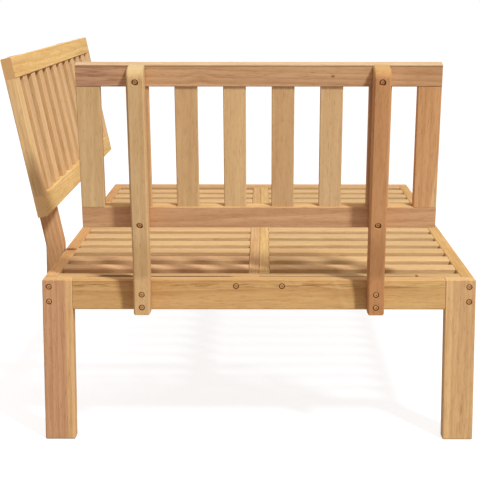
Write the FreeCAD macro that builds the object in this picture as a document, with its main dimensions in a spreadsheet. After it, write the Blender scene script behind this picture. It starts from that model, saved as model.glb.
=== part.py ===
import FreeCAD, Part
import os
import re
import Sketcher

# Outdoor corner sofa in slatted teak: one seat platform on four board legs, a short back along the rear (-Y)
# and a long back along the left (-X). Both backs lean outward on posts bolted to the outside of the seat.
# Millimetres, +Z up, origin on the floor under the middle of the whole sofa.

Vector = FreeCAD.Vector
Rotation = FreeCAD.Rotation
Constraint = Sketcher.Constraint

sizes = {
    # seat platform, overall
    "seat_width": 1000,
    "seat_length": 1500,
    "seat_height": 382,
    # leg and apron boards, joined by a stub tenon
    "leg_width": 70,
    "leg_thickness": 35,
    "apron_height": 70,
    "apron_thickness": 35,
    "apron_tenon_length": 38,
    "apron_tenon_height": 46,
    "apron_tenon_thickness": 14,
    "frame_chamfer": 2,
    # side rails between the legs, and the rails of the two slatted halves
    "side_rail_thickness": 30,
    "side_rail_height": 70,
    "centre_rail_thickness": 25,
    "centre_rail_height": 50,
    "centre_tenon_length": 15,
    "centre_tenon_height": 16,
    "centre_tenon_thickness": 12,
    "end_rail_width": 37,
    "end_rail_thickness": 30,
    "end_tenon_length": 10,
    "end_tenon_width": 24,
    "end_tenon_thickness": 12,
    # shallow relief in the rear left end rail, a dark slit beside the apron
    "slit_length": 306,
    "slit_width": 3,
    "slit_offset": 14,
    # seat slats
    "seat_slat_count": 13,
    "seat_slat_width": 50,
    "seat_slat_thickness": 22,
    "seat_slat_chamfer": 2.5,
    "seat_tenon_length": 9,
    "seat_tenon_width": 38,
    "seat_tenon_thickness": 12,
    # posts: an upright foot on the frame, then the lean that carries the back
    "lean": 12,
    "post_width": 37,
    "post_depth": 45,
    "post_kink_rise": 19,
    "post_foot_drop": 2.5,
    "post_bend_radius": 60,
    "post_top_radius": 20,
    "post_chamfer": 3,
    # back panels, measured along the lean
    "back_gap": 110,
    "back_height": 382,
    "back_inset": 100,
    "back_rail_height": 50,
    "back_rail_thickness": 25,
    "back_rail_chamfer": 1.5,
    "back_stile_width": 52,
    "back_stile_thickness": 25,
    "back_slat_width": 50,
    "back_slat_thickness": 18,
    "back_slat_chamfer": 1.5,
    "back_tenon_length": 15,
    "back_tenon_width": 36,
    "back_tenon_thickness": 10,
    "short_back_slat_count": 6,
    "long_back_slat_count": 10,
    # which slat, counted from the panel's end, each post stands behind
    "short_back_post_slat": 1,
    "long_back_post_slat": 2,
    # fasteners: bolts screwed into the rails, post bolts held by barrel nuts, screws for the backs
    "bolt_diameter": 6,
    "bolt_head_diameter": 12,
    "bolt_head_height": 5,
    "bolt_recess": 6,
    "leg_bolt_drop": 17,
    "leg_bolt_spacing": 35,
    "leg_bolt_grip": 51,
    "apron_bolt_offset": 53,
    "apron_bolt_grip": 21,
    "post_bolt_drop": 25,
    "post_bolt_spacing": 30,
    "post_nut_depth": 14,
    "nut_diameter": 10,
    "nut_length": 16,
    "nut_overrun": 1.5,
    "screw_diameter": 5,
    "screw_head_diameter": 13,
    "screw_head_height": 4,
    "screw_recess": 8,
    "screw_grip": 18,
    "screw_drop": 3,
    # fits
    "tenon_clearance": 0.2,
    "tenon_end_gap": 0.3,
    "hole_clearance": 0.4,
    "head_clearance": 2,
}

doc = FreeCAD.newDocument("CornerSofa")
sheet = doc.addObject("Spreadsheet::Sheet", "Sizes")
for row, (alias, value) in enumerate(sizes.items(), 1):
    sheet.set(f"A{row}", alias)
    sheet.set(f"B{row}", str(value))
    sheet.setAlias(f"B{row}", alias)
doc.recompute()

parts = []

# Lengths and places that follow from the sizes, measured from the middle of the seat
post_reach = "(back_gap + back_height)"
overhang = (
    f"(({post_reach} - post_top_radius) * sin(lean)"
    " + (post_depth - post_top_radius) * cos(lean) + post_top_radius)"
)
seat_centre = f"({overhang} / 2)"
kink_height = "(seat_height + post_kink_rise)"
foot_length = "(post_kink_rise + apron_height + post_foot_drop)"

side_rail_length = "(seat_length - 2 * leg_thickness)"
apron_length = "(seat_width - 2 * leg_width)"
end_rail_length = "(seat_width / 2 - side_rail_thickness)"
slat_bay_length = "(seat_length - 2 * (apron_thickness + end_rail_width))"
seat_slat_length = "(seat_width / 2 - side_rail_thickness - centre_rail_thickness)"
seat_slat_pitch = f"(({slat_bay_length} + seat_slat_width) / (seat_slat_count + 1))"

back_length = {"short": "(seat_width - 2 * back_inset)", "long": "(seat_length - 2 * back_inset)"}
back_slat_length = "(back_height - 2 * back_rail_height)"
back_pitch = {}
post_offset = {}
for back in back_length:
    slat_bay = f"({back_length[back]} - 2 * back_stile_width)"
    back_pitch[back] = f"(({slat_bay} + back_slat_width) / ({back}_back_slat_count + 1))"
    post_offset[back] = f"((({back}_back_slat_count + 1) / 2 - {back}_back_post_slat) * {back_pitch[back]})"

bolt_hole = "(bolt_diameter + hole_clearance)"
bolt_counterbore = "(bolt_head_diameter + head_clearance)"
screw_hole = "(screw_diameter + hole_clearance)"
screw_counterbore = "(screw_head_diameter + head_clearance)"
nut_hole = "(nut_diameter + hole_clearance)"
post_bolt_grip = "(post_nut_depth + nut_diameter / 2 + nut_overrun)"
bolt_length = {
    "leg": "(leg_thickness - bolt_recess + leg_bolt_grip)",
    "post": f"(post_depth - bolt_recess + {post_bolt_grip})",
    "apron": "(apron_thickness - bolt_recess + apron_bolt_grip)",
}


def expression(text):
    """Put the sheet's name before every size in a formula."""
    return re.sub(r"[a-z_]+", lambda word: f"Sizes.{word[0]}" if word[0] in sizes else word[0], str(text))


def bind(item, path, formula):
    item.setExpression(path, expression(formula))


def origin_feature(body, role):
    return next(item for item in body.Origin.OriginFeatures if item.Role == role)


def sketch_on(body, plane, place):
    """A sketch on one of the body's own planes, moved to a place given in the body's x, y and z."""
    x, y, z = place
    offset = {"XY_Plane": (x, y, z), "XZ_Plane": (x, z, f"-({y})"), "YZ_Plane": (y, z, x)}[plane]
    sketch = body.newObject("Sketcher::SketchObject", "Sketch")
    sketch.AttachmentSupport = [(origin_feature(body, plane), "")]
    sketch.MapMode = "FlatFace"
    for axis, distance in zip("xyz", offset):
        bind(sketch, f"AttachmentOffset.Base.{axis}", distance)
    return sketch


def dimension(sketch, name, formula, *constraint):
    sketch.renameConstraint(sketch.addConstraint(Constraint(*constraint)), name)
    bind(sketch, f"Constraints.{name}", formula)


def rectangle(body, plane, width, height, place=(0, 0, 0)):
    """A rectangle centred on its place: width along the plane's first axis, height along its second."""
    sketch = sketch_on(body, plane, place)
    corners = [Vector(-1, -1), Vector(1, -1), Vector(1, 1), Vector(-1, 1)]
    for line in range(4):
        sketch.addGeometry(Part.LineSegment(corners[line], corners[(line + 1) % 4]))
    for line in range(4):
        sketch.addConstraint(Constraint("Coincident", line, 2, (line + 1) % 4, 1))
        sketch.addConstraint(Constraint("Vertical" if line % 2 else "Horizontal", line))
    sketch.addConstraint(Constraint("Symmetric", 0, 1, 1, 2, -1, 1))
    dimension(sketch, "width", width, "DistanceX", 0, 1, 0, 2, 2)
    dimension(sketch, "height", height, "DistanceY", 1, 1, 1, 2, 2)
    return sketch


def circle(body, plane, diameter, place=(0, 0, 0)):
    sketch = sketch_on(body, plane, place)
    sketch.addGeometry(Part.Circle(Vector(), Vector(0, 0, 1), 1))
    sketch.addConstraint(Constraint("Coincident", 0, 3, -1, 1))
    dimension(sketch, "diameter", diameter, "Diameter", 0, 2)
    return sketch


def hexagon(body, plane, diameter, place=(0, 0, 0)):
    """A hexagon inscribed in a construction circle, one corner on the plane's first axis.

    Heads, hidden shanks and nuts have six sides, and so have the bores: there are many, so each has few faces."""
    sketch = sketch_on(body, plane, place)
    corners = [Rotation(Vector(0, 0, 1), 60 * turn).multVec(Vector(1)) for turn in range(6)]
    for line in range(6):
        sketch.addGeometry(Part.LineSegment(corners[line], corners[(line + 1) % 6]))
    ring = sketch.addGeometry(Part.Circle(Vector(), Vector(0, 0, 1), 1), True)
    sketch.addConstraint(Constraint("Coincident", ring, 3, -1, 1))
    for line in range(6):
        sketch.addConstraint(Constraint("Coincident", line, 2, (line + 1) % 6, 1))
        sketch.addConstraint(Constraint("PointOnObject", line, 1, ring))
    for line in range(1, 6):
        sketch.addConstraint(Constraint("Equal", 0, line))
    sketch.addConstraint(Constraint("PointOnObject", 0, 1, -1))
    dimension(sketch, "corners", diameter, "Diameter", ring, 2)
    return sketch


def pad(body, sketch, length, side="Symmetric", turned=False):
    feature = body.newObject("PartDesign::Pad", "Pad")
    feature.Profile = sketch
    feature.SideType = side
    feature.Reversed = turned
    bind(feature, "Length", length)
    return feature


def cut(body, sketch, depth, toward):
    """A pocket from the sketch in a direction of the body, such as +Y."""
    feature = body.newObject("PartDesign::Pocket", "Pocket")
    feature.Profile = sketch
    feature.Type = "Length"
    feature.Reversed = toward in ("+X", "-Y", "+Z")
    bind(feature, "Length", depth)
    return feature


def repeat(body, features, axis, extent, count):
    """Copies of the features in a row along an axis, from where they are, over the whole extent."""
    pattern = body.newObject("PartDesign::LinearPattern", "Row")
    pattern.Originals = features
    pattern.Direction = (origin_feature(body, f"{axis}_Axis"), [""])
    bind(pattern, "Length", extent)
    bind(pattern, "Occurrences", count)
    body.Tip = pattern
    return pattern


def dress_edges(body, kind, size, chosen):
    """A Chamfer or Fillet on the edges of the body so far that a test picks out."""
    doc.recompute()
    base = body.Tip
    names = [f"Edge{number}" for number, edge in enumerate(base.Shape.Edges, 1) if chosen(edge)]
    feature = body.newObject(f"PartDesign::{kind}", kind)
    feature.Base = (base, names)
    bind(feature, "Size" if kind == "Chamfer" else "Radius", size)


axes = {"X": Vector(1, 0, 0), "Y": Vector(0, 1, 0), "Z": Vector(0, 0, 1)}
across_plane = {"X": "YZ_Plane", "Y": "XZ_Plane", "Z": "XY_Plane"}
tolerance = 0.01


def runs_along(edge, axis):
    direction = edge.Vertexes[-1].Point - edge.Vertexes[0].Point
    return direction.cross(axis).Length < tolerance


def board(label, axis, length, width, height, chamfer):
    """A planed board along an axis with its four long edges eased."""
    body = doc.addObject("PartDesign::Body", label)
    body.Label = label
    pad(body, rectangle(body, across_plane[axis], width, height), length)
    dress_edges(body, "Chamfer", chamfer, lambda edge: runs_along(edge, axes[axis]))
    return body


def place(item, x, y, z, axis=axes["Z"], turn=0):
    """Set an item from the middle of the seat and the floor, turned by a fixed angle or by a formula."""
    item.Placement = FreeCAD.Placement(Vector(), Rotation(axis, 1))
    bind(item, "Placement.Rotation.Angle", turn)
    bind(item, "Placement.Base.x", f"{seat_centre} + ({x})")
    bind(item, "Placement.Base.y", f"{seat_centre} + ({y})")
    bind(item, "Placement.Base.z", z)


lean_axis = {"short": Vector(1, 0, 0), "long": Vector(0, -1, 0)}


def place_on_back(item, back, sideways, up, inward):
    """Set an item on a back, measured along it, up the lean from the kink and inward from the posts."""
    outward = f"{up} * sin(lean) - ({inward}) * cos(lean)"
    height = f"{kink_height} + {up} * cos(lean) + ({inward}) * sin(lean)"
    if back == "short":
        place(item, sideways, f"-seat_length / 2 - ({outward})", height, lean_axis[back], "lean")
    else:
        place(item, f"-seat_width / 2 - ({outward})", sideways, height, lean_axis[back], "lean")


def ordered(back, along, through):
    """Two sizes in plane order: along the back and through its thickness."""
    return (along, through) if back == "short" else (through, along)


def bolt_row(body, features, spacing):
    return repeat(body, features, "Z", spacing, 2)


def make_leg(label, side, turn):
    """A leg with the apron's mortise in its inner edge and two bolt holes to the side rail."""
    leg = doc.addObject("PartDesign::Body", label)
    leg.Label = label
    pad(leg, rectangle(leg, "XY_Plane", "leg_width", "leg_thickness"), "seat_height")
    dress_edges(leg, "Chamfer", "frame_chamfer", lambda edge: True)
    mortise = rectangle(
        leg, "YZ_Plane",
        "apron_tenon_thickness + tenon_clearance", "apron_tenon_height + tenon_clearance",
        (f"{side} * leg_width / 2", "(apron_thickness - leg_thickness) / 2", "(seat_height - apron_height) / 2"),
    )
    cut(leg, mortise, "apron_tenon_length + tenon_end_gap", "-X" if side > 0 else "+X")
    hole_place = (
        f"-({side}) * (leg_width - side_rail_thickness) / 2",
        "-leg_thickness / 2",
        "seat_height / 2 - leg_bolt_drop - leg_bolt_spacing",
    )
    recess = cut(leg, circle(leg, "XZ_Plane", bolt_counterbore, hole_place), "bolt_recess", "+Y")
    bore = cut(leg, hexagon(leg, "XZ_Plane", bolt_hole, hole_place), "leg_thickness", "+Y")
    bolt_row(leg, [recess, bore], "leg_bolt_spacing")
    end = "-" if turn == 0 else ""
    edge = "-" if (side > 0) == (turn == 0) else ""
    place(
        leg, f"{edge}(seat_width - leg_width) / 2", f"{end}(seat_length - leg_thickness) / 2", "seat_height / 2",
        turn=turn,
    )
    parts.append(leg)


def drill_for_posts(body, along, back, height, thickness):
    """Cross holes for the post bolts and, from above, one hole for the two barrel nuts of each post."""
    face = f"-{thickness} / 2"
    plane, inward = ("XZ_Plane", "+Y") if along == "X" else ("YZ_Plane", "+X")
    holes = []
    for step in range(2):
        drop = f"{height} / 2 - post_bolt_drop - {step} * post_bolt_spacing"
        sketch = hexagon(body, plane, bolt_hole, (*ordered(back, f"-{post_offset[back]}", face), drop))
        holes.append(cut(body, sketch, f"{post_bolt_grip} + tenon_end_gap", inward))
    nut_place = (*ordered(back, f"-{post_offset[back]}", f"{face} + post_nut_depth"), f"{height} / 2")
    nut_depth = "post_bolt_drop + post_bolt_spacing + nut_length / 2"
    holes.append(cut(body, circle(body, "XY_Plane", nut_hole, nut_place), nut_depth, "-Z"))
    repeat(body, holes, along, f"2 * {post_offset[back]}", 2)


def make_apron(label, turn):
    """A cross board tenoned into two legs, with two bolt holes to the slatted halves."""
    apron = board(label, "X", apron_length, "apron_thickness", "apron_height", "frame_chamfer")
    tenon = rectangle(apron, "YZ_Plane", "apron_tenon_thickness", "apron_tenon_height")
    pad(apron, tenon, f"{apron_length} + 2 * apron_tenon_length")
    hole_place = ("-apron_bolt_offset", "-apron_thickness / 2", "(apron_height - end_rail_thickness) / 2")
    recess = cut(apron, circle(apron, "XZ_Plane", bolt_counterbore, hole_place), "bolt_recess", "+Y")
    bore = cut(apron, hexagon(apron, "XZ_Plane", bolt_hole, hole_place), "apron_thickness", "+Y")
    repeat(apron, [recess, bore], "X", "2 * apron_bolt_offset", 2)
    if turn == 0:
        drill_for_posts(apron, "X", "short", "apron_height", "apron_thickness")
    end = "-" if turn == 0 else ""
    place(
        apron, 0, f"{end}(seat_length - apron_thickness) / 2", "seat_height - apron_height / 2",
        turn=turn,
    )
    parts.append(apron)


def slat_mortises(body, face, height, toward):
    """A row of mortises for the ends of the seat slats."""
    sketch = rectangle(
        body, "YZ_Plane",
        "seat_tenon_width + tenon_clearance", "seat_tenon_thickness + tenon_clearance",
        (face, f"-(seat_slat_count - 1) / 2 * {seat_slat_pitch}", f"({height} - seat_slat_thickness) / 2"),
    )
    mortise = cut(body, sketch, "seat_tenon_length + tenon_end_gap", toward)
    repeat(body, [mortise], "Y", f"(seat_slat_count - 1) * {seat_slat_pitch}", "seat_slat_count")


def make_side_rail(label, turn):
    """A long rail bolted end-on to two legs, mortised for the slats and for two end rails."""
    rail = board(label, "Y", side_rail_length, "side_rail_thickness", "side_rail_height", "frame_chamfer")
    inner = "side_rail_thickness / 2"
    slat_mortises(rail, inner, "side_rail_height", "-X")
    bolt_line = "side_rail_height / 2 - leg_bolt_drop - leg_bolt_spacing"
    for end, toward in (("-", "+Y"), ("", "-Y")):
        mortise = rectangle(
            rail, "YZ_Plane", "end_tenon_width + tenon_clearance", "end_tenon_thickness + tenon_clearance",
            (
                inner,
                f"{end}({side_rail_length} / 2 - apron_thickness + leg_thickness - end_rail_width / 2)",
                "(side_rail_height - end_rail_thickness) / 2",
            ),
        )
        cut(rail, mortise, "end_tenon_length + tenon_end_gap", "-X")
        bore = hexagon(rail, "XZ_Plane", bolt_hole, (0, f"{end}{side_rail_length} / 2", bolt_line))
        bolt_row(rail, [cut(rail, bore, "leg_bolt_grip + tenon_end_gap", toward)], "leg_bolt_spacing")
    if turn == 0:
        drill_for_posts(rail, "Y", "long", "side_rail_height", "side_rail_thickness")
    side = "-" if turn == 0 else ""
    place(
        rail, f"{side}(seat_width - side_rail_thickness) / 2", 0, "seat_height - side_rail_height / 2",
        turn=turn,
    )
    parts.append(rail)


def make_end_rail(label, side, turn):
    """A short rail beside an apron, from the side rail to the seam in the middle of the seat."""
    rail = board(label, "X", end_rail_length, "end_rail_width", "end_rail_thickness", "frame_chamfer")
    tenon_place = (f"-({side}) * {end_rail_length} / 2", 0, 0)
    tenon = rectangle(rail, "YZ_Plane", "end_tenon_width", "end_tenon_thickness", tenon_place)
    pad(rail, tenon, "2 * end_tenon_length")
    mortise = rectangle(
        rail, "XZ_Plane", "centre_tenon_thickness + tenon_clearance", "centre_tenon_height + tenon_clearance",
        (f"{side} * ({end_rail_length} - centre_rail_thickness) / 2", "end_rail_width / 2", 0),
    )
    cut(rail, mortise, "centre_tenon_length + tenon_end_gap", "-Y")
    bolt_line = f"{side} * ({end_rail_length} / 2 - apron_bolt_offset)"
    bore = hexagon(rail, "XZ_Plane", bolt_hole, (bolt_line, "-end_rail_width / 2", 0))
    cut(rail, bore, "apron_bolt_grip + tenon_end_gap", "+Y")
    if label == "rear_left_end_rail":
        slit = rectangle(
            rail, "XY_Plane", "slit_length", "2 * slit_width",
            ("-slit_offset", "-end_rail_width / 2", "end_rail_thickness / 2"),
        )
        cut(rail, slit, "end_rail_thickness", "-Z")
    end = "-" if turn == 0 else ""
    edge = "-" if (side > 0) == (turn == 0) else ""
    place(
        rail, f"{edge}{end_rail_length} / 2", f"{end}(seat_length / 2 - apron_thickness - end_rail_width / 2)",
        "seat_height - end_rail_thickness / 2", turn=turn,
    )
    parts.append(rail)


def make_centre_rail(label, turn):
    """The inner rail of a slatted half, tenoned into its end rails."""
    rail = board(label, "Y", slat_bay_length, "centre_rail_thickness", "centre_rail_height", "frame_chamfer")
    tenon = rectangle(
        rail, "XZ_Plane", "centre_tenon_thickness", "centre_tenon_height",
        (0, 0, "(centre_rail_height - end_rail_thickness) / 2"),
    )
    pad(rail, tenon, f"{slat_bay_length} + 2 * centre_tenon_length")
    slat_mortises(rail, "-centre_rail_thickness / 2", "centre_rail_height", "+X")
    side = "-" if turn == 0 else ""
    place(rail, f"{side}centre_rail_thickness / 2", 0, "seat_height - centre_rail_height / 2", turn=turn)
    parts.append(rail)


def copy_of(item, x, y, z, axis=axes["Z"], turn=0):
    link = doc.addObject("App::Link", "Copy")
    link.LinkedObject = item
    place(link, x, y, z, axis, turn)
    return link


def group(label, items):
    """Separate solids that share one name."""
    compound = doc.addObject("Part::Compound", label)
    compound.Label = label
    compound.Links = items
    parts.append(compound)


def make_seat_slats():
    """Slats in rows: one on each side of the centre rails."""
    slat = board(
        "seat_slat", "X", seat_slat_length, "seat_slat_width", "seat_slat_thickness", "seat_slat_chamfer",
    )
    tenon = rectangle(slat, "YZ_Plane", "seat_tenon_width", "seat_tenon_thickness")
    pad(slat, tenon, f"{seat_slat_length} + 2 * seat_tenon_length")
    sideways = f"({seat_slat_length} / 2 + centre_rail_thickness)"
    for row in range(int(sizes["seat_slat_count"])):
        along = f"({row} - (seat_slat_count - 1) / 2) * {seat_slat_pitch}"
        height = "seat_height - seat_slat_thickness / 2"
        pair = [copy_of(slat, f"{side}{sideways}", along, height) for side in ("-", "")]
        group(f"seat_slat_pair_{row + 1:02d}", pair)


def make_post(label, back, end):
    """A post cut from one board: an upright foot against the frame and a straight leaning part above it."""
    post = doc.addObject("PartDesign::Body", label)
    post.Label = label
    foot = rectangle(post, "YZ_Plane", "post_depth", foot_length, (0, "-post_depth / 2", f"-{foot_length} / 2"))
    pad(post, foot, "post_width")
    middle = (
        0,
        f"-post_depth / 2 * cos(lean) - {post_reach} / 2 * sin(lean)",
        f"-post_depth / 2 * sin(lean) + {post_reach} / 2 * cos(lean)",
    )
    leaning = rectangle(post, "YZ_Plane", "post_depth", post_reach, middle)
    leaning.AttachmentOffset = FreeCAD.Placement(Vector(), Rotation(Vector(0, 0, 1), 1))
    bind(leaning, "AttachmentOffset.Rotation.Angle", "lean")
    pad(post, leaning, "post_width")

    doc.recompute()
    heights = sorted(edge.CenterOfMass.z for edge in post.Shape.Edges if runs_along(edge, axes["X"]))
    low_kink, high_kink = heights[2] - tolerance, heights[3] + tolerance
    dress_edges(
        post, "Fillet", "post_bend_radius",
        lambda edge: runs_along(edge, axes["X"]) and low_kink < edge.CenterOfMass.z < high_kink,
    )
    doc.recompute()
    outermost = min(edge.CenterOfMass.y for edge in post.Shape.Edges if runs_along(edge, axes["X"]))
    dress_edges(
        post, "Fillet", "post_top_radius",
        lambda edge: runs_along(edge, axes["X"]) and edge.CenterOfMass.y < outermost + tolerance,
    )
    dress_edges(post, "Chamfer", "post_chamfer", lambda edge: not runs_along(edge, axes["X"]))

    bolt_place = (0, "-post_depth", "-post_kink_rise - post_bolt_drop - post_bolt_spacing")
    recess = cut(post, circle(post, "XZ_Plane", bolt_counterbore, bolt_place), "bolt_recess", "+Y")
    bore = cut(post, hexagon(post, "XZ_Plane", bolt_hole, bolt_place), "post_depth", "+Y")
    bolt_row(post, [recess, bore], "post_bolt_spacing")
    for up in screw_heights:
        screw_place = (
            0,
            f"-({up} * sin(lean) + post_depth * cos(lean))",
            f"{up} * cos(lean) - post_depth * sin(lean)",
        )
        recess = circle(post, "XZ_Plane", screw_counterbore, screw_place)
        bore = hexagon(post, "XZ_Plane", screw_hole, screw_place)
        for sketch, depth in ((recess, "screw_recess"), (bore, "post_depth")):
            sketch.AttachmentOffset = FreeCAD.Placement(Vector(), Rotation(Vector(1, 0, 0), 1))
            bind(sketch, "AttachmentOffset.Rotation.Angle", "lean")
            cut(post, sketch, depth, "+Y")
    sideways = f"{end}{post_offset[back]}"
    if back == "short":
        place(post, sideways, "-seat_length / 2", kink_height)
    else:
        place(post, "-seat_width / 2", sideways, kink_height, turn=-90)
    parts.append(post)


rail_heights = ("(back_gap + back_rail_height / 2)", "(back_gap + back_height - back_rail_height / 2)")
screw_heights = [f"({height} - screw_drop)" for height in rail_heights]
back_axis = {"short": "X", "long": "Y"}


def make_back_rail(label, back, up, inner_side):
    """A rail along a back, mortised on its inner side for stiles and slats and drilled for the post screws."""
    axis = back_axis[back]
    rail = board(
        label, axis, back_length[back], "back_rail_thickness", "back_rail_height", "back_rail_chamfer",
    )
    toward = "-Z" if inner_side > 0 else "+Z"
    rows = (
        (f"({back_length[back]} - back_stile_width)", 2),
        (f"(({back}_back_slat_count - 1) * {back_pitch[back]})", f"{back}_back_slat_count"),
    )
    for extent, count in rows:
        mortise = rectangle(
            rail, "XY_Plane",
            *ordered(back, "back_tenon_width + tenon_clearance", "back_tenon_thickness + tenon_clearance"),
            (*ordered(back, f"-{extent} / 2", 0), f"{inner_side} * back_rail_height / 2"),
        )
        repeat(rail, [cut(rail, mortise, "back_tenon_length + tenon_end_gap", toward)], axis, extent, count)
    plane, inward = ("XZ_Plane", "+Y") if back == "short" else ("YZ_Plane", "+X")
    pilot_place = (*ordered(back, f"-{post_offset[back]}", "-back_rail_thickness / 2"), "-screw_drop")
    pilot = cut(rail, hexagon(rail, plane, screw_hole, pilot_place), "screw_grip + tenon_end_gap", inward)
    repeat(rail, [pilot], axis, f"2 * {post_offset[back]}", 2)
    place_on_back(rail, back, 0, up, "back_rail_thickness / 2")
    parts.append(rail)


def make_back_upright(label, back, kind, sideways):
    """A stile, flush with the rails, or a thinner slat between the two rails of a back."""
    upright = board(
        label, "Z", back_slat_length, *ordered(back, f"back_{kind}_width", f"back_{kind}_thickness"),
        "back_slat_chamfer",
    )
    tenon = rectangle(upright, "XY_Plane", *ordered(back, "back_tenon_width", "back_tenon_thickness"))
    pad(upright, tenon, f"{back_slat_length} + 2 * back_tenon_length")
    place_on_back(upright, back, sideways, "(back_gap + back_height / 2)", "back_rail_thickness / 2")
    parts.append(upright)


def make_back(back, name, ends):
    """One back panel: two rails, two stiles at the ends and evenly spaced slats."""
    low, high = rail_heights
    make_back_rail(f"{name}_top_rail", back, high, -1)
    make_back_rail(f"{name}_bottom_rail", back, low, 1)
    for end, sign in zip(ends, ("-", "")):
        sideways = f"{sign}({back_length[back]} - back_stile_width) / 2"
        make_back_upright(f"{name}_{end}_stile", back, "stile", sideways)
    count = int(sizes[f"{back}_back_slat_count"])
    for slat in range(count):
        sideways = f"({slat} - ({back}_back_slat_count - 1) / 2) * {back_pitch[back]}"
        make_back_upright(f"{name}_slat_{slat + 1:02d}", back, "slat", sideways)
    for end, sign in zip(ends, ("-", "")):
        make_post(f"{name}_{end}_post", back, sign)


def make_bolt(label, axis, length, diameter, head_diameter, head_height):
    """A bolt along +Y or +X with the underside of its head at the origin."""
    bolt = doc.addObject("PartDesign::Body", label)
    plane = "XZ_Plane" if axis == "Y" else "YZ_Plane"
    pad(bolt, hexagon(bolt, plane, head_diameter), head_height, "One side", turned=axis == "X")
    pad(bolt, hexagon(bolt, plane, diameter), length, "One side", turned=axis == "Y")
    return bolt


def make_barrel_nut():
    """An upright barrel nut with a cross hole along Y."""
    nut = doc.addObject("PartDesign::Body", "barrel_nut")
    pad(nut, hexagon(nut, "XY_Plane", "nut_diameter"), "nut_length")
    cut(nut, hexagon(nut, "XZ_Plane", bolt_hole, (0, "-nut_diameter / 2", 0)), "nut_diameter", "+Y")
    return nut


def make_frame_bolts():
    """Bolts through the legs into the side rails and through the aprons into the end rails."""
    head = ("bolt_diameter", "bolt_head_diameter", "bolt_head_height")
    leg_bolt = make_bolt("leg_bolt", "Y", bolt_length["leg"], *head)
    apron_bolt = make_bolt("apron_bolt", "Y", bolt_length["apron"], *head)
    leg_bolts = []
    apron_bolts = []
    for end, turn in (("-", 0), ("", 180)):
        head_line = f"{end}(seat_length / 2 - bolt_recess)"
        for side in ("-", ""):
            rail_line = f"{side}(seat_width - side_rail_thickness) / 2"
            for step in range(2):
                height = f"seat_height - leg_bolt_drop - {step} * leg_bolt_spacing"
                leg_bolts.append(copy_of(leg_bolt, rail_line, head_line, height, turn=turn))
            height = "seat_height - end_rail_thickness / 2"
            apron_bolts.append(copy_of(apron_bolt, f"{side}apron_bolt_offset", head_line, height, turn=turn))
    group("leg_bolts", leg_bolts)
    group("apron_bolts", apron_bolts)


def make_back_fasteners():
    """Bolts with barrel nuts at the feet of the posts and screws from the posts into the backs."""
    post_bolt = make_bolt(
        "post_bolt", "Y", bolt_length["post"], "bolt_diameter", "bolt_head_diameter", "bolt_head_height",
    )
    nut = make_barrel_nut()
    bolts = []
    nuts = []
    screws = []
    for back, face in (("short", "-seat_length / 2"), ("long", "-seat_width / 2")):
        turn = 0 if back == "short" else -90
        screw = make_bolt(
            f"{back}_back_screw", "Y" if back == "short" else "X", "(post_depth - screw_recess + screw_grip)",
            "screw_diameter", "screw_head_diameter", "screw_head_height",
        )
        for side in ("-", ""):
            post_line = f"{side}{post_offset[back]}"
            head_place = ordered(back, post_line, f"{face} - post_depth + bolt_recess")
            nut_place = ordered(back, post_line, f"{face} + post_nut_depth")
            for step in range(2):
                height = f"seat_height - post_bolt_drop - {step} * post_bolt_spacing"
                bolts.append(copy_of(post_bolt, *head_place, height, turn=turn))
                nuts.append(copy_of(nut, *nut_place, height, turn=turn))
            for up in screw_heights:
                link = doc.addObject("App::Link", "Copy")
                link.LinkedObject = screw
                place_on_back(link, back, post_line, up, "screw_recess - post_depth")
                screws.append(link)
    group("post_bolts", bolts)
    group("barrel_nuts", nuts)
    group("back_screws", screws)


# side +1 is a piece whose apron or seam lies on its +X edge as drawn, turn 180 sets it at the front end
make_leg("rear_left_leg", 1, 0)
make_leg("rear_right_leg", -1, 0)
make_leg("front_left_leg", -1, 180)
make_leg("front_right_leg", 1, 180)
make_apron("rear_apron", 0)
make_apron("front_apron", 180)
make_side_rail("left_side_rail", 0)
make_side_rail("right_side_rail", 180)
make_end_rail("rear_left_end_rail", 1, 0)
make_end_rail("rear_right_end_rail", -1, 0)
make_end_rail("front_left_end_rail", -1, 180)
make_end_rail("front_right_end_rail", 1, 180)
make_centre_rail("left_centre_rail", 0)
make_centre_rail("right_centre_rail", 180)
make_seat_slats()
make_back("short", "rear_back", ("left", "right"))
make_back("long", "left_back", ("rear", "front"))
make_frame_bolts()
make_back_fasteners()

doc.recompute()
for item in doc.Objects:
    if "Invalid" in item.State or "Error" in item.State:
        raise RuntimeError(f"{item.Name} failed: {item.State}")
for part in parts:
    if part.Shape.isNull() or not part.Shape.isValid() or not part.Shape.Solids:
        raise RuntimeError(f"{part.Label} has no valid solid")

os.makedirs("parts", exist_ok=True)
for part in parts:
    part.Shape.exportStep(f"parts/{part.Label}.step")
box = FreeCAD.BoundBox()
for part in parts:
    box.add(part.Shape.BoundBox)
print(f"{len(parts)} nodes, {sum(len(part.Shape.Solids) for part in parts)} solids, box {box}")
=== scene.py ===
import math
import bmesh
import bpy
from mathutils import Matrix, Vector


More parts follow.
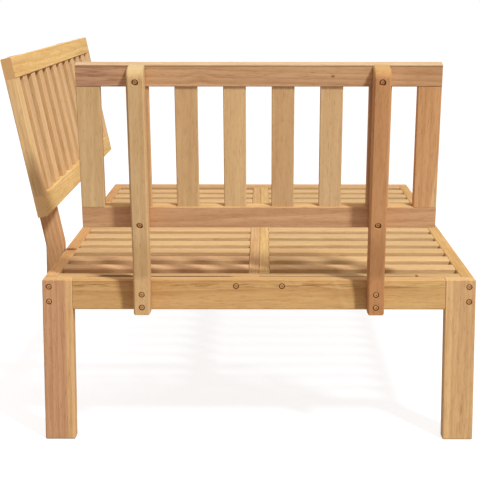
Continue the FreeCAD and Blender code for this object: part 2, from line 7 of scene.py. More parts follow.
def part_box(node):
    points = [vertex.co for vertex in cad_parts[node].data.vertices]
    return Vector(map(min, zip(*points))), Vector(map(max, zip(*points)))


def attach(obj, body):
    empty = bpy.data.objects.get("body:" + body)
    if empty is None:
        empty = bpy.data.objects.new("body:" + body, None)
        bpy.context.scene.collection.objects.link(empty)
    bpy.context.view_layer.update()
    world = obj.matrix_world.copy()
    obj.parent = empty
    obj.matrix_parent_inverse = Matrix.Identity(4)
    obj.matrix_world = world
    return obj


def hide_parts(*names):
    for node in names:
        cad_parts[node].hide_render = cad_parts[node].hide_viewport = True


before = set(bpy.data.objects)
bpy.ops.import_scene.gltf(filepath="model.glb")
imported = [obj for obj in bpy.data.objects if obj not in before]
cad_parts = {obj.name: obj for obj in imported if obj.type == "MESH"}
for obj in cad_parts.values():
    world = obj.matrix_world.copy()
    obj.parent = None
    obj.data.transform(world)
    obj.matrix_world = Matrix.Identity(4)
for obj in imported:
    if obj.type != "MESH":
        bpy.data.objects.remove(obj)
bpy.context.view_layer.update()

scene = bpy.context.scene
scene.view_settings.view_transform = "Standard"
print("frame loaded:", len(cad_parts), "nodes")


# sRGB hex to linear, with an optional lift or drop of the light it gives back
def hexColour(code, level=1.0):
    values = [int(code[i:i + 2], 16) / 255 for i in (0, 2, 4)]
    linear = [v / 12.92 if v <= 0.04045 else ((v + 0.055) / 1.055) ** 2.4 for v in values]
    return [v * level for v in linear] + [1.0]


# adds a shader node, sets its fields and fills or links its sockets. A colour Mix has its share at socket 0,
# its two colours at 6 and 7 and its result at 2
def addNode(tree, kind, sockets=None, **settings):
    node = tree.nodes.new("ShaderNode" + kind)
    for field, value in settings.items():
        setattr(node, field, value)
    for socket, value in (sockets or {}).items():
        if isinstance(value, bpy.types.NodeSocket):
            tree.links.new(value, node.inputs[socket])
        else:
            node.inputs[socket].default_value = value
    return node


def newMaterial(name):
    material = bpy.data.materials.new(name)
    material.use_nodes = True
    material.node_tree.nodes.clear()
    return material, material.node_tree


def dress(node, material):
    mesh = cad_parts[node].data
    mesh.materials.clear()
    mesh.materials.append(material)


# share 0 gives the first of two ends, share 1 the second
def between(ends, share):
    return ends[0] + (ends[1] - ends[0]) * share


# planed teak: sawn, planed and sanded, left without varnish. Thin brown growth lines in a golden ground,
# short dark pores along the grain, boards a little redder or yellower than the next, and a dry, silky sheen
teak = {
    "ringWidth": 0.007,           # growth rings, about twice real width so that they show in the render
    "waveRing": 0.314,            # ring width of a wave texture at scale 1
    "stretch": 14.0,              # figure runs this much longer along the grain than across it
    "streakWidth": 0.011,
    "fineWidth": 0.0035,
    "poreWidth": 0.0016,          # pores, about three times real width so that they show
    "driftWidth": 0.06,           # slow change between a board's two tones
    "poreLevels": (0.60, 0.70),   # levels of each figure between which it comes in
    "driftLevels": (0.30, 0.70),
    "breakLevels": (0.50, 0.60),
    "roughLevels": (0.30, 0.70),
    "toneLift": 1.08,             # lifts the first tone of a board
    "rightLift": 1.06,            # lifts the tone of a right-hand slat
    "knotHeart": 0.45,            # a knot darkens from this share of the way in
    "knotDeep": 3,                # it runs this much further into the board than across it
    "endFigure": 0.3,             # share of the figure that shows on sawn ends
    "squareOn": (0.80, 0.97),     # how squarely a face looks along a direction to count as an end or an edge
    "cornerShadeReach": 0.008,           # painted shade darkens corners, holes and joints this far out
    "cornerShadeAmount": 0.5,
    "bumpHeight": 0.0004,
    "bumpStrength": 0.3,
    "poreSink": -0.7,             # pores lie lower than the fine figure
    "roughness": (0.52, 0.70),
    "ior": 1.45,
    "specular": 0.06,             # dry wood, hardly any shine
    "pithAcross": (0.02, 0.09),   # from a board's middle to the heart of its log
    "pithThrough": (-0.05, -0.11),
    "tilt": (-1.2, 1.2),          # degrees between the grain and the board's edges
    "ringSpread": (0.85, 1.25),
    "waver": (5.0, 9.0),
    "cutSteps": (0.618, 0.382, 0.755),  # uneven steps, so that no two boards are cut alike
}

# directions in which a board's grain runs, and across it in the board's broad face
lean = math.radians(12)
leanOut = math.sin(lean)
leanUp = math.cos(lean)
rearUpward = Vector((0, -leanOut, leanUp))
leftUpward = Vector((-leanOut, 0, leanUp))
grainWays = {
    "x": (Vector((1, 0, 0)), Vector((0, 0, 1))),
    "y": (Vector((0, 1, 0)), Vector((0, 0, 1))),
    "xFlat": (Vector((1, 0, 0)), Vector((0, 1, 0))),
    "z": (Vector((0, 0, 1)), Vector((1, 0, 0))),
    "rearUp": (rearUpward, Vector((1, 0, 0))),
    "leftUp": (leftUpward, Vector((0, 1, 0))),
}

# directions into a board from its edges. The last two are slanted lines across its face
inward = {
    "left": Vector((1, 0, 0)),
    "right": Vector((-1, 0, 0)),
    "rear": Vector((0, 1, 0)),
    "bottom": Vector((0, 0, 1)),
    "top": Vector((0, 0, -1)),
    "leaningTop": -rearUpward,
    "leftSlant": Vector((1, 0, 0.4)),
    "leftTaper": Vector((1, 0, -0.11)),
}


# knots push the growth rings aside and darken the wood around their middle
def knotMarks(tree, look, spot):
    push = 0.0
    shade = 0.0
    for place, width, length, swing in look["knots"]:
        nearKnot = addNode(tree, "Mapping", {
            "Vector": spot, "Location": look["corner"] + Vector(place), "Rotation": look["turn"],
            "Scale": (length, width, width * teak["knotDeep"]),
        }, vector_type="TEXTURE").outputs["Vector"]
        ball = addNode(tree, "TexGradient", {
            "Vector": nearKnot,
        }, gradient_type="QUADRATIC_SPHERE").outputs["Fac"]
        push = addNode(tree, "Math", {0: ball, 1: swing, 2: push}, operation="MULTIPLY_ADD").outputs[0]
        dark = addNode(tree, "MapRange", {
            "Value": ball, "From Min": teak["knotHeart"], "From Max": 1.0, "To Max": look["knotDepth"],
        }).outputs["Result"]
        shade = addNode(tree, "Math", {0: shade, 1: dark}).outputs[0]
    return push, shade


# the figure of the wood, drawn out along the grain: growth rings, streaks, fine lines, pores and a slow drift
def teakFigure(tree, look):
    spot = addNode(tree, "TexCoord").outputs["Object"]
    along = addNode(tree, "Mapping", {
        "Vector": spot, "Location": look["heart"], "Rotation": look["turn"], "Scale": (teak["stretch"], 1, 1),
    }, vector_type="TEXTURE").outputs["Vector"]
    push, knotShade = knotMarks(tree, look, spot)
    figure = {"spot": spot, "knotShade": knotShade}
    figure["rings"] = addNode(tree, "TexWave", {
        "Vector": along, "Scale": teak["waveRing"] / look["ring"], "Distortion": look["waver"], "Detail": 2.5,
        "Detail Scale": 0.35, "Detail Roughness": 0.55, "Phase Offset": push,
    }, wave_type="RINGS", rings_direction="X", wave_profile="SAW").outputs["Fac"]
    for part, detail in (("streak", 4.0), ("fine", 3.0), ("pore", 1.0), ("drift", 2.0)):
        figure[part] = addNode(tree, "TexNoise", {
            "Vector": along, "Scale": 1 / teak[part + "Width"], "Detail": detail, "Roughness": 0.6,
        }).outputs["Fac"]
    faint, full = teak["poreLevels"]
    figure["poreMark"] = addNode(tree, "MapRange", {
        "Value": figure["pore"], "From Min": faint, "From Max": full,
    }).outputs["Result"]
    return figure


# a board's own tone, wandering to its second one. The right-hand slat of a pair has a tone of its own
def groundColour(tree, look, figure):
    faint, full = teak["driftLevels"]
    share = addNode(tree, "MapRange", {
        "Value": figure["drift"], "From Min": faint, "From Max": full,
    }, interpolation_type="SMOOTHSTEP").outputs["Result"]
    colour = addNode(tree, "Mix", {
        0: share, 6: hexColour(look["tone"], teak["toneLift"]), 7: hexColour(look["second"]),
    }, data_type="RGBA").outputs[2]
    if "right" in look:
        sideways = addNode(tree, "SeparateXYZ", {0: figure["spot"]}).outputs["X"]
        isRight = addNode(tree, "Math", {0: sideways, 1: look["seam"]}, operation="GREATER_THAN").outputs[0]
        colour = addNode(tree, "Mix", {
            0: isRight, 6: colour, 7: hexColour(look["right"], teak["rightLift"]),
        }, data_type="RGBA").outputs[2]
    return colour


# a wash is another colour over part of a board, such as a purplish end, a pale sapwood edge or a dark line.
# A band names an edge of the board and says where it starts and ends in from there, and how far it fades.
# sway lets the figure of the wood push the first band about, and only breaks the wash up by one of its noises
def wash(tone, amount, *bands, sway=0.0, swayBy="streak", only=None):
    return {"tone": tone, "amount": amount, "bands": bands, "sway": sway, "swayBy": swayBy, "only": only}


def washShare(tree, look, patch, figure):
    share = patch["amount"]
    sway = patch["sway"]
    for edge, start, end, soft in patch["bands"]:
        way = inward[edge]
        middle = min(way.dot(vertex.co) for vertex in look["vertices"]) + (start + end) / 2
        half = (end - start) / 2
        reach = addNode(tree, "VectorMath", {
            0: figure["spot"], 1: way,
        }, operation="DOT_PRODUCT").outputs["Value"]
        if sway:
            reach = addNode(tree, "Math", {
                0: figure[patch["swayBy"]], 1: sway, 2: reach,
            }, operation="MULTIPLY_ADD").outputs[0]
            middle += sway / 2
            sway = 0.0
        away = addNode(tree, "Math", {0: reach, 1: middle}, operation="SUBTRACT").outputs[0]
        away = addNode(tree, "Math", {0: away}, operation="ABSOLUTE").outputs[0]
        share = addNode(tree, "MapRange", {
            "Value": away, "From Min": half + soft, "From Max": half - soft, "To Max": share,
        }, interpolation_type="SMOOTHSTEP").outputs["Result"]
    if patch["only"]:
        faint, full = teak["breakLevels"]
        broken = addNode(tree, "MapRange", {
            "Value": figure[patch["only"]], "From Min": faint, "From Max": full,
        }).outputs["Result"]
        share = addNode(tree, "Math", {0: share, 1: broken}, operation="MULTIPLY").outputs[0]
    return share


# growth lines, streaks, fine figure, pores and knots darken the ground, and painted shade darkens corners and
# holes
def shadeFigure(tree, look, figure, colour):
    facing = addNode(tree, "NewGeometry").outputs["True Normal"]
    turned = {}
    for side in ("grain", "across"):
        facingSide = addNode(tree, "VectorMath", {
            0: facing, 1: look[side],
        }, operation="DOT_PRODUCT").outputs["Value"]
        turned[side] = addNode(tree, "Math", {0: facingSide}, operation="ABSOLUTE").outputs[0]
    halfSquare, square = teak["squareOn"]
    calm = addNode(tree, "MapRange", {
        "Value": turned["grain"], "From Min": halfSquare, "From Max": square,
        "To Min": 1.0, "To Max": teak["endFigure"],
    }).outputs["Result"]
    # painted shade: darker where corners, holes and joints close in, found by ambient occlusion
    cornerShade = addNode(tree, "AmbientOcclusion", {"Distance": teak["cornerShadeReach"]}, samples=6).outputs["AO"]
    layers = [  # what shows, where it starts, where it is full, how strong it is and its tint
        (figure["rings"], 0.25, 1.0, look["lines"], look["line"]),
        (figure["streak"], 0.42, 0.72, look["streaks"], "C2A482"),
        (figure["fine"], 0.40, 0.70, look["fine"], "C8AE8E"),
        (figure["poreMark"], 0.0, 1.0, look["pores"], "A07E5C"),
        (cornerShade, 0.70, 0.20, teak["cornerShadeAmount"], "8E5226"),
        (turned["across"], halfSquare, square, look["edges"], "ECDFBF"),  # painted shade on the narrow sides
    ]
    if look["knots"]:
        layers.append((figure["knotShade"], 0.0, 1.0, 1.0, "A8764C"))
    for value, start, full, amount, tint in layers:
        share = addNode(tree, "MapRange", {
            "Value": value, "From Min": start, "From Max": full, "To Max": amount,
        }, interpolation_type="SMOOTHSTEP").outputs["Result"]
        if value is not cornerShade:  # sawn ends show little figure
            share = addNode(tree, "Math", {0: share, 1: calm}, operation="MULTIPLY").outputs[0]
        colour = addNode(tree, "Mix", {
            0: share, 6: colour, 7: hexColour(tint),
        }, data_type="RGBA", blend_type="MULTIPLY").outputs[2]
    return colour


def planedTeak(name, look):
    material, tree = newMaterial("planed teak " + name)
    figure = teakFigure(tree, look)
    colour = groundColour(tree, look, figure)
    for patch in look["washes"]:
        colour = addNode(tree, "Mix", {
            0: washShare(tree, look, patch, figure), 6: colour, 7: hexColour(patch["tone"]),
        }, data_type="RGBA").outputs[2]
    colour = shadeFigure(tree, look, figure, colour)
    relief = addNode(tree, "Math", {
        0: figure["poreMark"], 1: teak["poreSink"], 2: figure["fine"],
    }, operation="MULTIPLY_ADD").outputs[0]
    bump = addNode(tree, "Bump", {
        "Height": relief, "Strength": teak["bumpStrength"], "Distance": teak["bumpHeight"],
    }).outputs["Normal"]
    faint, full = teak["roughLevels"]
    smooth, coarse = teak["roughness"]
    rough = addNode(tree, "MapRange", {
        "Value": figure["streak"], "From Min": faint, "From Max": full, "To Min": smooth, "To Max": coarse,
    }).outputs["Result"]
    shader = addNode(tree, "BsdfPrincipled", {
        "Base Color": colour, "Roughness": rough, "Normal": bump,
        "IOR": teak["ior"], "Specular IOR Level": teak["specular"],
    })
    addNode(tree, "OutputMaterial", {"Surface": shader.outputs[0]})
    return material


# fills in what a board doesn't say for itself. cut picks a different part of the log for each board
def boardLook(node, way, cut, own):
    low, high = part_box(node)
    first, second, third = [(cut * step) % 1 for step in teak["cutSteps"]]
    look = {
        "pith": (between(teak["pithAcross"], first), between(teak["pithThrough"], second)),
        "tilt": between(teak["tilt"], third), "waver": between(teak["waver"], third),
        "ring": teak["ringWidth"] * between(teak["ringSpread"], second),
        "line": "BE9C76", "lines": 0.24, "streaks": 0.22, "fine": 0.20, "pores": 0.30, "edges": 0.0,
        "knots": [], "knotDepth": 0.4, "washes": [],
    }
    look.update(own)
    grain, across = grainWays[way]
    through = grain.cross(across)
    turn = Matrix((grain, across, through)).transposed() @ Matrix.Rotation(math.radians(look["tilt"]), 3, "Z")
    look.update({
        "grain": grain, "across": across, "turn": turn.to_euler(), "corner": low,
        "heart": (low + high) / 2 + across * look["pith"][0] + through * look["pith"][1],
        "vertices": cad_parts[node].data.vertices,
    })
    return look


def dressBoards(boards, firstCut):
    for cut, (node, (way, own)) in enumerate(boards.items(), firstCut):
        dress(node, planedTeak(node.replace("_", " "), boardLook(node, way, cut, own)))


# frame boards. Nearly black painted shade lies along the open joints. A knot has its place from the board's
# left, rear and lower corner, its width, its length and how hard it pushes the growth rings aside
jointShade = "4C2208"
past = -0.05  # a band that starts this far outside an edge covers the edge itself
frameBoards = {
    "rear_left_leg": ("z", dict(
        tone="D9A97B", second="D3A077", pith=(-0.09, -0.06), ring=0.013, washes=[
            wash("EABC84", 0.95, ("left", 0.054, 0.154, 0.003), sway=0.010),  # pale strip down its right edge
            wash("CFA873", 0.85, ("top", past, 0.0015, 0.0008))])),  # sawn top
    "rear_right_leg": ("z", dict(
        tone="D8AE7C", second="D4A878", lines=0.15, pith=(0.08, -0.05), ring=0.013, washes=[
            wash("E6BA84", 1.0, ("right", 0.053, 0.153, 0.002), sway=0.016),  # pale strip down its left edge
            wash("D0AA74", 0.85, ("top", past, 0.0015, 0.0008))],  # sawn top
        knots=[((0.043, 0.0, 0.075), 0.022, 0.10, 9.0)])),
    "front_left_leg": ("z", dict(tone="CFA26E", second="C59465")),
    "front_right_leg": ("z", dict(tone="C99A6A", second="D2A874")),
    "rear_apron": ("x", dict(
        tone="D3A66E", second="CC9E66", lines=0.34, pith=(-0.02, -0.07), washes=[
            # a dark broken streak below the top, a pale slanting line and a paler right-hand end
            wash("7E5730", 0.55, ("bottom", 0.053, 0.061, 0.003), sway=0.008, only="fine"),
            wash("E0BA80", 0.5, ("leftSlant", 0.661, 0.673, 0.004), sway=0.014),
            wash("E4BC7E", 0.5, ("left", 0.697, 0.937, 0.06), sway=0.04),
            # three short dark lines, from right to left
            wash("8A5A30", 0.6, ("bottom", 0.0516, 0.0544, 0.0012), ("left", 0.737, 0.837, 0.02), sway=0.012),
            wash("8A5A30", 0.6, ("bottom", 0.0578, 0.0602, 0.0010), ("left", 0.577, 0.677, 0.02), sway=0.010),
            wash("96683A", 0.55, ("bottom", 0.0586, 0.0604, 0.0008), ("left", 0.31, 0.374, 0.01), sway=0.004),
            wash("CCA874", 0.9, ("top", past, 0.0005, 0.0008))],  # top face
        knots=[((0.669, 0.0, 0.033), 0.050, 0.07, 2.5)], knotDepth=0.15)),
    "front_apron": ("x", dict(tone="CFA064", second="D2A86E")),
    "left_side_rail": ("y", dict(
        tone="CFA068", second="C89862", lines=0.2, washes=[
            wash("ECC088", 0.7, ("rear", 0.014, 0.274, 0.04), sway=0.03)],  # painted light: paler rear end, lifting the short back's shadow there
        # painted shade: a dark spot over the nut hole, set as a knot that doesn't push the rings
        knots=[((0.013, 0.324, 0.070), 0.028, 0.060, 0.0)], knotDepth=1.5)),
    "right_side_rail": ("y", dict(tone="CBA56A", second="C49C62", lines=0.2)),
    "rear_left_end_rail": ("xFlat", dict(
        tone="CBA776", second="C49E6C", lines=0.2, washes=[  # painted shade along the open joint, wider at its left end
            wash(jointShade, 0.85, ("rear", -0.0010, 0.0070, 0.002), ("left", 0.107, 0.417, 0.01)),
            wash(jointShade, 0.85, ("rear", -0.0003, 0.0137, 0.003), ("left", 0.109, 0.185, 0.01))])),
    "rear_right_end_rail": ("xFlat", dict(
        tone="C1A170", second="BB9965", lines=0.2, washes=[  # fainter painted shade along this joint
            wash(jointShade, 0.5, ("rear", -0.0010, 0.0070, 0.003), ("left", -0.031, 0.369, 0.06))],
        knots=[((0.368, 0.010, 0.030), 0.050, 0.017, 0.0)], knotDepth=1.5)),
    "front_left_end_rail": ("xFlat", dict(tone="C9A574", second="C29C6A")),
    "front_right_end_rail": ("xFlat", dict(tone="CCA876", second="C6A06E")),
    "left_centre_rail": ("y", dict(tone="CCA775", second="C69F6F", lines=0.2)),
    "right_centre_rail": ("y", dict(tone="D0AE74", second="CAA86E", lines=0.2)),
}
dressBoards(frameBoards, firstCut=1)

# seat slats, two to a node, each with its own tone
slatTones = [
    ("D9B082", "D0AC7C"), ("DFB98A", "D2B07E"), ("D4AF7E", "CAA676"), ("D3B182", "CBAA7B"),
    ("D0AE7C", "C9A87A"), ("D5B182", "CEAC7D"), ("CFAB7A", "CAA879"),
]
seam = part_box("left_centre_rail")[1].x
seatSlats = sorted(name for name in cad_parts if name.startswith("seat_slat_pair_"))
slatBoards = {}
for row, node in enumerate(seatSlats):
    left, right = slatTones[row % len(slatTones)]
    nextLeft = slatTones[(row + 1) % len(slatTones)][0]
    slatBoards[node] = ("xFlat", dict(
        tone=left, second=nextLeft, right=right, seam=seam, lines=0.18, streaks=0.18, fine=0.2, pores=0.25))
dressBoards(slatBoards, firstCut=21)
print("seat and legs dressed")

# backs: rails along, stiles and slats up the lean. Most uprights are cut from plain, straight-grained stock
quiet = dict(ring=0.013, lines=0.09, streaks=0.14, fine=0.16)
backBoards = {
    "rear_back_top_rail": ("x", dict(
        tone="DCAF82", second="D3A379", lines=0.30, pith=(0.06, -0.08), washes=[
            wash("CB997A", 0.75, ("left", -0.101, 0.099, 0.035), sway=0.03),  # purplish left end
            wash("8E5E48", 0.35, ("left", -0.051, 0.109, 0.035), sway=0.03, only="fine"),
            wash("CF9E72", 0.85, ("left", 0.719, 0.899, 0.03), sway=0.03),  # browner right end
            wash("74462A", 0.75, ("left", 0.558, 0.565, 0.0024), ("bottom", 0.0205, 0.0253, 0.002)),  # a spot
            wash("84593A", 0.55, ("bottom", 0.0437, 0.0461, 0.0012), sway=0.006, swayBy="drift"),  # dark line
            wash("CEB490", 0.9, ("leaningTop", past, 0.00185, 0.0008))],  # top face
        knots=[((0.273, 0.015, 0.022), 0.026, 0.05, 6.0)])),
    "rear_back_bottom_rail": ("x", dict(
        tone="DEAD80", second="D6A278", lines=0.24, washes=[
            wash("D0AC78", 0.9, ("leaningTop", past, 0.00185, 0.0008))])),  # top face
    "rear_back_left_stile": ("rearUp", dict(tone="E1BB89", second="DAB27E", **quiet)),
    "rear_back_right_stile": ("rearUp", dict(
        tone="DDA776", second="D49D6A", ring=0.012, lines=0.13, streaks=0.16, washes=[
            wash("F2C48C", 0.8, ("leftTaper", 0.069, 0.169, 0.002), sway=0.004)],  # pale strip, wider below
        knots=[((0.033, 0.057, 0.136), 0.016, 0.045, 5.0)])),
    "rear_back_slat_01": ("rearUp", dict(tone="D9AD7B", second="D2A275", **quiet)),
    "rear_back_slat_02": ("rearUp", dict(tone="DBB381", second="D8AC7A", **quiet)),
    "rear_back_slat_03": ("rearUp", dict(tone="E3BA87", second="DDB37F", **quiet)),
    "rear_back_slat_04": ("rearUp", dict(tone="D8AE7D", second="D4A474", **quiet)),
    "rear_back_slat_05": ("rearUp", dict(tone="E2BB8B", second="DDB280", **quiet)),
    "rear_back_slat_06": ("rearUp", dict(tone="D3A477", second="CB986D", **quiet)),
    "rear_back_left_post": ("rearUp", dict(
        tone="E0BA89", second="DAB17E", **quiet, washes=[
            wash("D6AC79", 0.9, ("bottom", past, 0.1755, 0.03)),  # painted shade: darker, browner foot
            wash("C6AE80", 0.9, ("top", past, 0.015, 0.012))])),  # greyer top
    "rear_back_right_post": ("rearUp", dict(
        tone="D19968", second="CA9162", **quiet, washes=[
            wash("C0885A", 0.9, ("bottom", past, 0.1755, 0.03)),  # painted shade: darker, browner foot
            wash("B6955C", 0.8, ("top", past, 0.017, 0.012))])),  # greyer top
    "left_back_top_rail": ("y", dict(
        tone="F0CA84", second="EAC07C", lines=0.2, washes=[
            wash("CA9B6B", 0.85, ("rear", past, 0.0009, 0.0006))])),  # sawn end
    "left_back_bottom_rail": ("y", dict(
        tone="E9C584", second="E3BD7C", lines=0.2, washes=[
            wash("F0C48C", 0.85, ("rear", past, 0.0009, 0.0006))])),  # sawn end, painted paler to lift the short back's shadow on it
    "left_back_rear_stile": ("leftUp", dict(tone="E5C28E", second="DFB884", lines=0.2)),
    "left_back_front_stile": ("leftUp", dict(tone="E6C292", second="E0B988", lines=0.2)),
    "left_back_rear_post": ("leftUp", dict(tone="D2A477", second="CA996E")),
    "left_back_front_post": ("leftUp", dict(tone="D4A775", second="CC9E6C")),
}
longSlatTones = ("DEB98B", "DBB487", "E1BD90", "D8B183")
longSlats = sorted(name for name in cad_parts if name.startswith("left_back_slat_"))
# long slats carry painted shade on their narrow sides
for slat, node in enumerate(longSlats, 1):
    backBoards[node] = ("leftUp", dict(
        tone=longSlatTones[slat % len(longSlatTones)], second="D6AF82", edges=0.6, **quiet))
dressBoards(backBoards, firstCut=40)
print("backs dressed")


# plated steel: turned, with a thin plating, paler and a little rougher where a key or a thumb has rubbed it.
# The bolts are bronzed, the screws browned a little darker, and the nuts, deep in the wood, have bright zinc
plating = {
    "rubWidth": 0.004,
    "rubLevels": (0.4, 0.7),
    "roughLevels": (0.3, 0.7),
    "rubbed": 0.10,            # rubbed places are this much rougher
    "untouched": -0.08,        # and the others smoother
    "pitWidth": 0.0006,
    "pitDepth": 0.0001,
    "pitStrength": 0.2,
}


def platedSteel(name, colour, worn, metallic, roughness):
    material, tree = newMaterial(name)
    spot = addNode(tree, "TexCoord").outputs["Object"]
    spread = addNode(tree, "TexNoise", {
        "Vector": spot, "Scale": 1 / plating["rubWidth"], "Detail": 4.0, "Roughness": 0.65,
    }).outputs["Fac"]
    faint, full = plating["rubLevels"]
    rub = addNode(tree, "MapRange", {"Value": spread, "From Min": faint, "From Max": full}).outputs["Result"]
    mixed = addNode(tree, "Mix", {
        0: rub, 6: hexColour(colour), 7: hexColour(worn),
    }, data_type="RGBA").outputs[2]
    faint, full = plating["roughLevels"]
    rough = addNode(tree, "MapRange", {
        "Value": spread, "From Min": faint, "From Max": full,
        "To Min": roughness + plating["untouched"], "To Max": roughness + plating["rubbed"],
    }).outputs["Result"]
    pits = addNode(tree, "TexNoise", {
        "Vector": spot, "Scale": 1 / plating["pitWidth"], "Detail": 2.0,
    }).outputs["Fac"]
    bump = addNode(tree, "Bump", {
        "Height": pits, "Strength": plating["pitStrength"], "Distance": plating["pitDepth"],
    }).outputs["Normal"]
    shader = addNode(tree, "BsdfPrincipled", {
        "Base Color": mixed, "Metallic": metallic, "Roughness": rough, "Normal": bump,
    })
    addNode(tree, "OutputMaterial", {"Surface": shader.outputs[0]})
    return material


bronzeBolts = platedSteel("bronzed steel bolts", "B4824F", "CC9C68", metallic=0.6, roughness=0.44)
brownScrews = platedSteel("browned steel screws", "AE7C4A", "C8985F", metallic=0.6, roughness=0.45)
zincNuts = platedSteel("zinc plated steel nuts", "B6B6B2", "C8C8C6", metallic=1.0, roughness=0.38)
dress("barrel_nuts", zincNuts)


# selects faces or edges of the mesh in edit mode by a test on each
def pick(piece, kind, test):
    mesh = bmesh.from_edit_mesh(piece.data)
    for part in list(mesh.verts) + list(mesh.edges) + list(mesh.faces):
        part.select = False
    for part in getattr(mesh, kind):
        if test(part):
            part.select_set(True)
    mesh.select_flush_mode()
    bmesh.update_edit_mesh(piece.data)


# bolts and screws have a round head with a hexagon socket. head, shank and socket are radii
boltSizes = {
    "head": 0.0052, "rise": 0.0048, "round": 0.0012, "shank": 0.0029, "socket": 0.0028, "sink": 0.003}
screwSizes = {
    "head": 0.0054, "rise": 0.0038, "round": 0.0014, "shank": 0.0024, "socket": 0.0024, "sink": 0.0024}


# one fastener, with the underside of its head at the origin and its shank downwards
def makeFastener(name, sizes, length):
    rise = sizes["rise"]
    tip = sizes["shank"] * 0.35  # bevel at the shank's end
    bpy.ops.object.select_all(action="DESELECT")
    bpy.ops.mesh.primitive_cylinder_add(
        vertices=32, radius=sizes["head"], depth=rise, location=(0, 0, rise / 2))
    bolt = bpy.context.object
    bolt.name = name
    bpy.ops.object.transform_apply(location=True, rotation=False, scale=False)
    bpy.ops.object.mode_set(mode="EDIT")
    bpy.ops.mesh.select_mode(type="FACE")
    pick(bolt, "faces", lambda face: face.normal.z < -0.9)
    bpy.ops.mesh.inset(thickness=sizes["head"] - sizes["shank"])
    bpy.ops.mesh.extrude_region_move(TRANSFORM_OT_translate={"value": (0, 0, -length)})
    bpy.ops.mesh.inset(thickness=tip)
    bpy.ops.transform.translate(value=(0, 0, -tip))
    bpy.ops.mesh.select_mode(type="EDGE")
    pick(bolt, "edges", lambda edge: all(v.co.z > rise * 0.99 for v in edge.verts))  # the head's rim
    bpy.ops.mesh.bevel(offset=sizes["round"], segments=4, affect="EDGES")
    bpy.ops.object.mode_set(mode="OBJECT")

    bpy.ops.object.select_all(action="DESELECT")
    bpy.ops.mesh.primitive_cylinder_add(
        vertices=6, radius=sizes["socket"], depth=2 * sizes["sink"], location=(0, 0, rise))
    hexKey = bpy.context.object
    bpy.ops.object.transform_apply(location=True, rotation=False, scale=False)
    socket = bolt.modifiers.new("socket", "BOOLEAN")
    socket.operation = "DIFFERENCE"
    socket.solver = "EXACT"
    socket.object = hexKey
    bpy.ops.object.select_all(action="DESELECT")
    bolt.select_set(True)
    bpy.context.view_layer.objects.active = bolt
    bpy.ops.object.modifier_apply(modifier="socket")
    bpy.data.objects.remove(hexKey)
    bpy.ops.object.shade_smooth_by_angle(angle=math.radians(35))
    return bolt


# sets copies of a fastener, each with its own mesh, and joins them into the piece that stands for a CAD node
def setFasteners(fastener, piece, node, places, material):
    copies = []
    for spot, headWay in places:
        twin = fastener.copy()
        twin.data = fastener.data.copy()
        scene.collection.objects.link(twin)
        turn = Vector((0, 0, 1)).rotation_difference(headWay).to_matrix().to_4x4()
        twin.data.transform(Matrix.Translation(spot) @ turn)
        copies.append(twin)
    bpy.ops.object.select_all(action="DESELECT")
    for twin in copies:
        twin.select_set(True)
    bpy.context.view_layer.objects.active = copies[0]
    bpy.ops.object.join()
    joined = bpy.context.object
    joined.name = piece
    joined.data.materials.clear()
    joined.data.materials.append(material)
    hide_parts(node)
    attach(joined, "root")
    bpy.data.objects.remove(fastener)


def middleOf(node):
    low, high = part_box(node)
    return (low + high) / 2


# places follow the holes of the frame: where the underside of each head seats, and the way the head points
fixings = {
    "legDrops": (0.017, 0.052),    # below the seat's top
    "apronDrop": 0.015,
    "apronReach": 0.053,           # to each side of the apron's middle
    "sunk": 0.006,                 # in from the outer face of a leg or an apron
    "postDrops": (0.025, 0.055),
    "footOut": 0.039,              # out from the frame, through the foot of a post
    "screwOut": 0.0495,            # out from the middle of a back's rail, square to the lean
    "screwDown": 0.003,            # and down the lean
}
backs = [
    {"out": Vector((0, -1, 0)), "along": Vector((1, 0, 0)), "carrier": "rear_apron",
     "posts": ("rear_back_left_post", "rear_back_right_post"),
     "rails": ("rear_back_bottom_rail", "rear_back_top_rail")},
    {"out": Vector((-1, 0, 0)), "along": Vector((0, 1, 0)), "carrier": "left_side_rail",
     "posts": ("left_back_rear_post", "left_back_front_post"),
     "rails": ("left_back_bottom_rail", "left_back_top_rail")},
]
legPlaces, apronPlaces, postPlaces, screwPlaces = [], [], [], []
upright = Vector((0, 0, 1))
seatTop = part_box("rear_apron")[1].z

for apron, out in (("rear_apron", Vector((0, -1, 0))), ("front_apron", Vector((0, 1, 0)))):
    seatLine = out * (max(out.dot(corner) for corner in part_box(apron)) - fixings["sunk"])
    for rail, side in (("left_side_rail", -1), ("right_side_rail", 1)):
        for drop in fixings["legDrops"]:
            legPlaces.append((seatLine + Vector((middleOf(rail).x, 0, seatTop - drop)), out))
        apronX = middleOf(apron).x + side * fixings["apronReach"]
        apronPlaces.append((seatLine + Vector((apronX, 0, seatTop - fixings["apronDrop"])), out))

for back in backs:
    out, along = back["out"], back["along"]
    straightOut = out * leanUp - upright * leanOut  # square to the lean
    upTheLean = out * leanOut + upright * leanUp
    footLine = out * (max(out.dot(corner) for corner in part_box(back["carrier"])) + fixings["footOut"])
    for post in back["posts"]:
        atPost = along * along.dot(middleOf(post))
        for drop in fixings["postDrops"]:
            postPlaces.append((atPost + footLine + upright * (seatTop - drop), out))
        for rail in back["rails"]:
            railLine = middleOf(rail) - along * along.dot(middleOf(rail))
            inRail = railLine - upTheLean * fixings["screwDown"]
            screwPlaces.append((atPost + inRail + straightOut * fixings["screwOut"], straightOut))

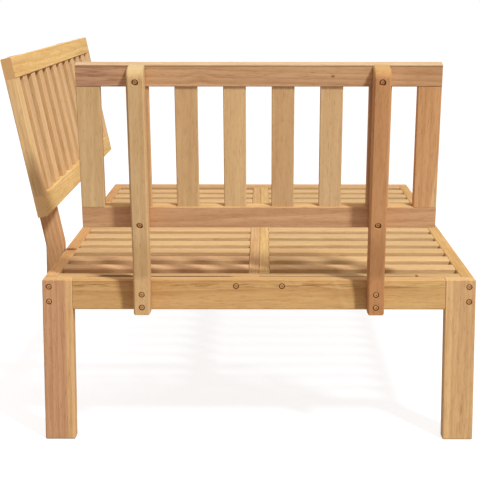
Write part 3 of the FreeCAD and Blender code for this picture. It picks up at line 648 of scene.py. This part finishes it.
# each kind's name, sizes, length under the head, slot, places and finish
fastenerKinds = [
    ("leg_bolt", boltSizes, 0.079, "bronze_bolts", legPlaces, bronzeBolts),
    ("apron_bolt", boltSizes, 0.049, "bronze_bolts", apronPlaces, bronzeBolts),
    ("post_bolt", boltSizes, 0.058, "bronze_bolts", postPlaces, bronzeBolts),
    ("back_screw", screwSizes, 0.053, "dark_screws", screwPlaces, brownScrews),
]
for kind, sizes, length, slot, places, finish in fastenerKinds:
    setFasteners(makeFastener(kind, sizes, length), kind + "_set", kind + "s", places, finish)
print("fasteners set")


# 1 for rays from the camera and for mirrored and see-through ones, 0 for those that light the sofa
def seenRays(tree):
    path = addNode(tree, "LightPath").outputs
    seen = path["Is Camera Ray"]
    for ray in ("Is Glossy Ray", "Is Transmission Ray"):
        seen = addNode(tree, "Math", {0: seen, 1: path[ray]}, operation="MAXIMUM").outputs[0]
    return seen


# studio paper: matt and white, rolled smooth, with hardly any shine. The camera sees it lifted to white, and
# the sofa's shadow stays on it
paper = {
    "floorSize": 40.0,
    "colour": "9A9C9E",
    "fleckWidth": 1 / 30,
    "roughness": (0.85, 0.95),
    "specular": 0.1,
    "lift": 0.80,
}
white = (1, 1, 1, 1)


def studioPaper():
    material, tree = newMaterial("white studio paper")
    spot = addNode(tree, "TexCoord").outputs["Object"]
    fleck = addNode(tree, "TexNoise", {
        "Vector": spot, "Scale": 1 / paper["fleckWidth"], "Detail": 3.0,
    }).outputs["Fac"]
    smooth, coarse = paper["roughness"]
    rough = addNode(tree, "MapRange", {"Value": fleck, "To Min": smooth, "To Max": coarse}).outputs["Result"]
    sheet = addNode(tree, "BsdfPrincipled", {
        "Base Color": hexColour(paper["colour"]), "Roughness": rough, "Specular IOR Level": paper["specular"],
    }).outputs[0]
    lift = addNode(tree, "Emission", {"Color": white, "Strength": paper["lift"]}).outputs[0]
    both = addNode(tree, "AddShader", {0: sheet, 1: lift}).outputs[0]
    shown = addNode(tree, "MixShader", {0: seenRays(tree), 1: sheet, 2: both}).outputs[0]
    addNode(tree, "OutputMaterial", {"Surface": shown})
    return material


bpy.ops.object.select_all(action="DESELECT")
bpy.ops.mesh.primitive_plane_add(size=paper["floorSize"], location=(0, 0, 0))
floor = bpy.context.object
floor.name = "studio_floor"
floor.data.materials.append(studioPaper())

# light: one soft lamp up to the right of the camera, and a white room that is brighter overhead
lights = {
    "key": 745.0,                      # watts
    "keySize": (0.8, 1.8),
    "keyTint": (0.93, 1.0, 1.02),
    "keyAim": (0.07, -0.3, 0.45),
    "keyWay": (0.65, -1.0, 1.3),       # from its aim
    "keyFar": 9.0,
    "roomSide": 0.10,
    "roomTop": 1.04,
    "roomTint": (1.0, 0.86, 0.80),
}
world = bpy.data.worlds.new("white room")
scene.world = world
world.use_nodes = True
tree = world.node_tree
tree.nodes.clear()
way = addNode(tree, "TexCoord").outputs["Generated"]
upward = addNode(tree, "SeparateXYZ", {0: way}).outputs["Z"]
level = addNode(tree, "MapRange", {
    "Value": upward, "To Min": lights["roomSide"], "To Max": lights["roomTop"],
}).outputs["Result"]
roomLight = addNode(tree, "Background", {"Color": (*lights["roomTint"], 1), "Strength": level}).outputs[0]
whiteWall = addNode(tree, "Background", {"Color": white, "Strength": 1.0}).outputs[0]
walls = addNode(tree, "MixShader", {0: seenRays(tree), 1: roomLight, 2: whiteWall}).outputs[0]
addNode(tree, "OutputWorld", {"Surface": walls})

lamp = bpy.data.lights.new("key", "AREA")
lamp.shape = "ELLIPSE"
lamp.size, lamp.size_y = lights["keySize"]
lamp.energy = lights["key"]
lamp.color = lights["keyTint"]
key = bpy.data.objects.new("key", lamp)
scene.collection.objects.link(key)
aim = Vector(lights["keyAim"])
key.location = aim + Vector(lights["keyWay"]).normalized() * lights["keyFar"]
key.rotation_euler = (aim - key.location).to_track_quat("-Z", "Y").to_euler()

# camera: behind the short back, about a metre up, with a long lens. Its numbers come from matching corners
view = {
    "place": (0.08304, -3.63827, 1.04426),
    "pitch": 8.369,  # degrees downwards
    "yaw": 0.2573,   # degrees to the left
    "lens": 98.507,
    "sensor": 36.0,
    "shift": (-0.038, -0.12),
}
lens = bpy.data.cameras.new("camera")
lens.lens = view["lens"]
lens.sensor_width = view["sensor"]
lens.shift_x, lens.shift_y = view["shift"]
camera = bpy.data.objects.new("camera", lens)
camera.location = view["place"]
camera.rotation_euler = (math.radians(90 - view["pitch"]), 0, math.radians(view["yaw"]))
scene.collection.objects.link(camera)
scene.camera = camera
print("floor, light and camera set")
